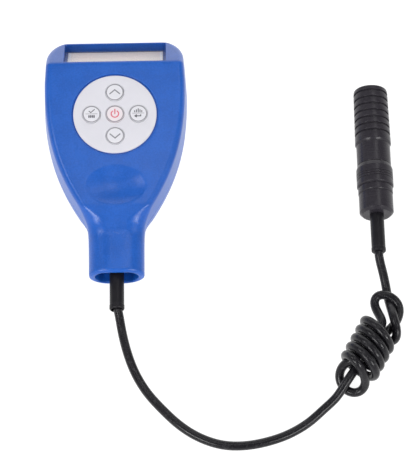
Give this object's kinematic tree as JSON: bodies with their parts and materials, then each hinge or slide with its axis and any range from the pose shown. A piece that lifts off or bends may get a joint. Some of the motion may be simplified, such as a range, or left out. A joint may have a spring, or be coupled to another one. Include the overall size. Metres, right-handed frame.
{
  "type": "coating thickness gauge",
  "caption": "Hand-held coating thickness gauge: keyhole-shaped housing with a slanted display pocket, round keypad and thumb dish, and a wired cylindrical probe on a wound cable.",
  "frame": {"origin": "on the housing's flat back face, on its centre line, halfway between the neck end and the display end", "axes": "+Z out of the keypad, +Y from the neck towards the display, +X towards the probe; the housing lies on its back"},
  "size_m": [0.1586, 0.1978, 0.0258],
  "materials": {
    "shell_blue": "fine matt moulded",
    "keypad_white": "satin",
    "window": "clear acrylic",
    "display": "grey liquid crystal panel",
    "inner_black": "matt",
    "silicone": "matt",
    "board_green": "solder mask",
    "header_ivory": "moulded",
    "steel": "bright zinc",
    "cell_wrap": "plain wrap",
    "cable_black": "satin PVC",
    "probe_black": "black anodised",
    "winding": "enamelled copper wire"
  },
  "bodies": {
    "gauge": {"front_shell": "shell_blue", "rear_shell": "shell_blue", "display_window": "window", "display_panel": "display", "display_carrier": "inner_black", "display_strip": "silicone", "keypad_plate": "keypad_white", "key_switches": "inner_black", "main_board": "board_green", "board_chips": "inner_black", "cable_header": "header_ivory", "board_screws": "steel", "shell_screws": "steel", "batteries": "cell_wrap", "battery_springs": "steel", "battery_contacts": "steel", "body_boot": "cable_black", "cable_run": "cable_black", "cable_hank": "cable_black", "cable_tail": "cable_black", "probe_grip": "probe_black", "probe_barrel": "probe_black", "probe_collar": "probe_black", "probe_tail": "probe_black", "probe_boot": "cable_black", "core_spring": "steel"},
    "door": {"battery_door": "shell_blue"},
    "up_key": {"key_up": "keypad_white"},
    "down_key": {"key_down": "keypad_white"},
    "power_key": {"key_power": "keypad_white"},
    "left_key": {"key_left": "keypad_white"},
    "right_key": {"key_right": "keypad_white"},
    "sensor": {"sensor_core": "steel", "sensor_pole": "steel", "sensor_winding": "winding"}
  },
  "joints": [
    {"name": "key_up_press", "type": "slide", "parent": "gauge", "child": "up_key", "axis": [0, 0.0976, -0.9952], "range_m": [0, 0.0005], "stiffness_N_per_m": 1500},
    {"name": "key_down_press", "type": "slide", "parent": "gauge", "child": "down_key", "axis": [0, 0.0976, -0.9952], "range_m": [0, 0.0005], "stiffness_N_per_m": 1500},
    {"name": "key_power_press", "type": "slide", "parent": "gauge", "child": "power_key", "axis": [0, 0.0976, -0.9952], "range_m": [0, 0.0005], "stiffness_N_per_m": 1500},
    {"name": "key_left_press", "type": "slide", "parent": "gauge", "child": "left_key", "axis": [0, 0.0976, -0.9952], "range_m": [0, 0.0005], "stiffness_N_per_m": 1500},
    {"name": "key_right_press", "type": "slide", "parent": "gauge", "child": "right_key", "axis": [0, 0.0976, -0.9952], "range_m": [0, 0.0005], "stiffness_N_per_m": 1500},
    {"name": "door_slide", "type": "slide", "parent": "gauge", "child": "door", "axis": [0, 1, 0], "range_m": [0, 0.076]},
    {"name": "sensor_retract", "type": "slide", "parent": "gauge", "child": "sensor", "axis": [0, -1, 0], "range_m": [0, 0.0012], "stiffness_N_per_m": 800, "deforming": ["core_spring"]}
  ]
}
